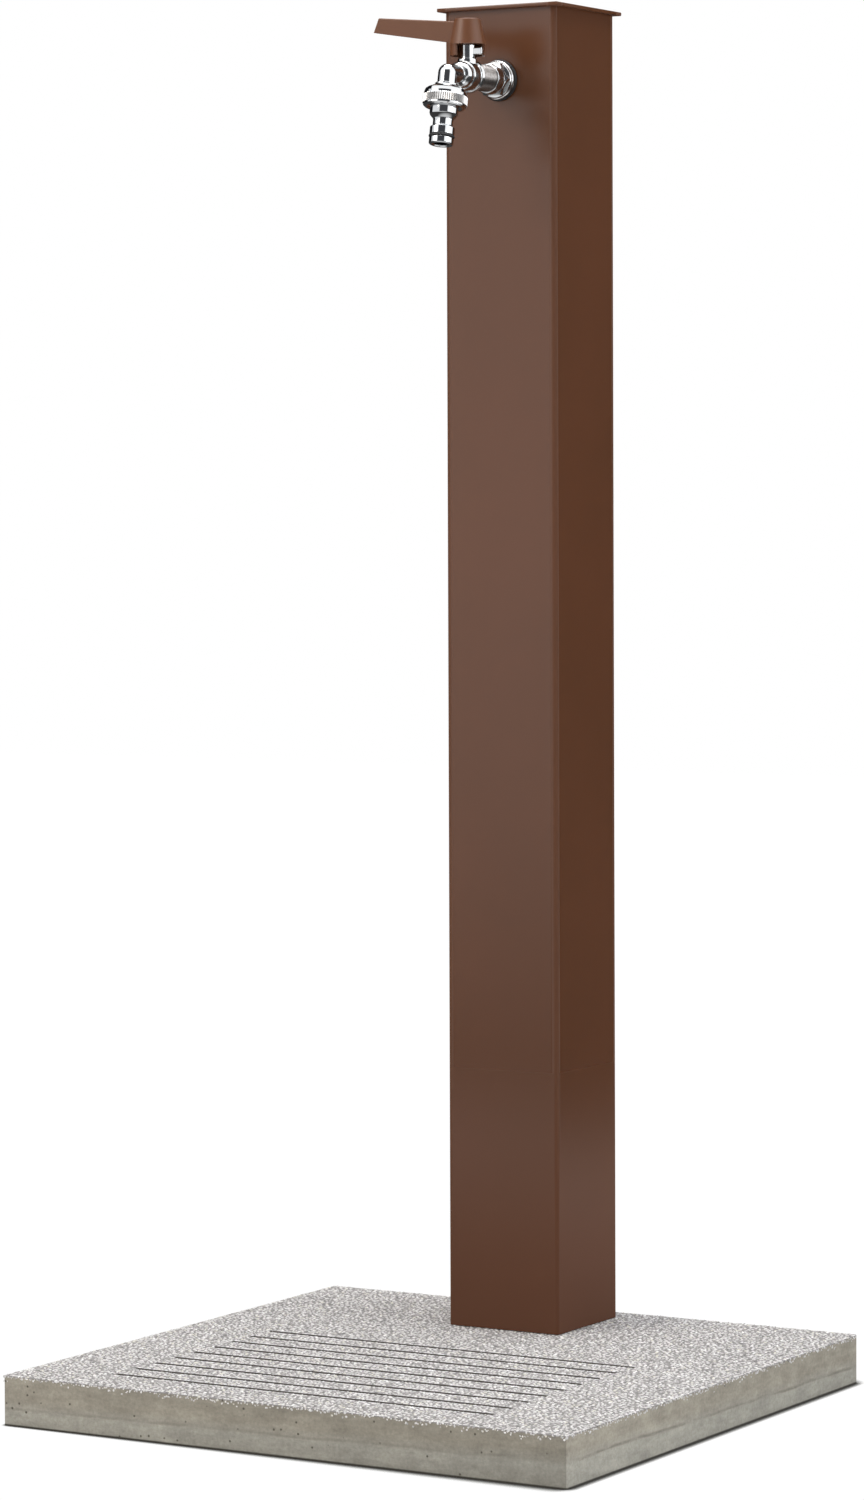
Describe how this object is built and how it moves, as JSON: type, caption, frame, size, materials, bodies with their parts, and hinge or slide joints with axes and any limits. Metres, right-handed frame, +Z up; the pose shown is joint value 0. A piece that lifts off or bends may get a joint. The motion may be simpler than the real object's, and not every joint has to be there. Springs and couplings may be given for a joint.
{
  "type": "garden standpipe",
  "caption": "Free-standing garden tap: square painted column on a grooved concrete slab, with a lever ball tap and a click hose connector near its top.",
  "frame": {"origin": "centre of the slab's underside, on the ground", "axes": "+Z up along the column, -Y the way the tap looks, +X to the right seen from the front"},
  "size_m": [0.5, 0.5, 1.123],
  "materials": {
    "concrete": "exposed aggregate, matt",
    "column_paint": "satin powder coat, brown",
    "lever_paint": "satin powder coat, brown",
    "chrome": "polished chrome plate on brass",
    "brass": "turned",
    "zinc_steel": "zinc plated",
    "rubber": "matt black",
    "seat_plastic": "smooth white"
  },
  "bodies": {
    "stand": {"base_slab": "concrete", "column": "column_paint", "cap_plate": "column_paint", "cap_frame": "column_paint", "foot_plate": "zinc_steel", "weld_nuts": "zinc_steel", "bolt_washers": "zinc_steel", "slab_bolts": "zinc_steel", "riser_pipe": "zinc_steel", "wall_elbow": "brass", "inlet_coupling": "brass", "tail_locknut": "brass", "tail_washer": "zinc_steel", "pipe_grommet": "rubber", "wall_gasket": "rubber", "flange_nut": "chrome", "tap_body": "chrome", "seat_rear": "seat_plastic", "seat_front": "seat_plastic", "end_cap": "chrome", "spout": "chrome"},
    "lever": {"lever": "lever_paint", "lever_screw": "zinc_steel", "valve_stem": "brass", "stem_rings": "rubber", "valve_ball": "chrome"},
    "connector": {"hose_nose": "chrome", "connector_washer": "rubber", "nose_ring": "rubber"},
    "swivel_nut": {"hose_nut": "chrome"}
  },
  "joints": [
    {"name": "lever_turn", "type": "hinge", "parent": "stand", "child": "lever", "pos_m": [-0.011, 0.0702, 1.062], "axis": [0, 0, 1], "range_deg": [0, 90]},
    {"name": "connector_slide", "type": "slide", "parent": "stand", "child": "connector", "axis": [0, -0.1908, -0.9816], "range_m": [0, 0.0086]},
    {"name": "nut_turn", "type": "hinge", "parent": "connector", "child": "swivel_nut", "pos_m": [-0.011, 0.038, 1.062], "axis": [0, -0.1908, -0.9816], "range_deg": [0, 1710]}
  ],
  "couplings": [
    {"joint": "nut_turn", "follows": "connector_slide", "rad_per_m": 3463.7}
  ]
}
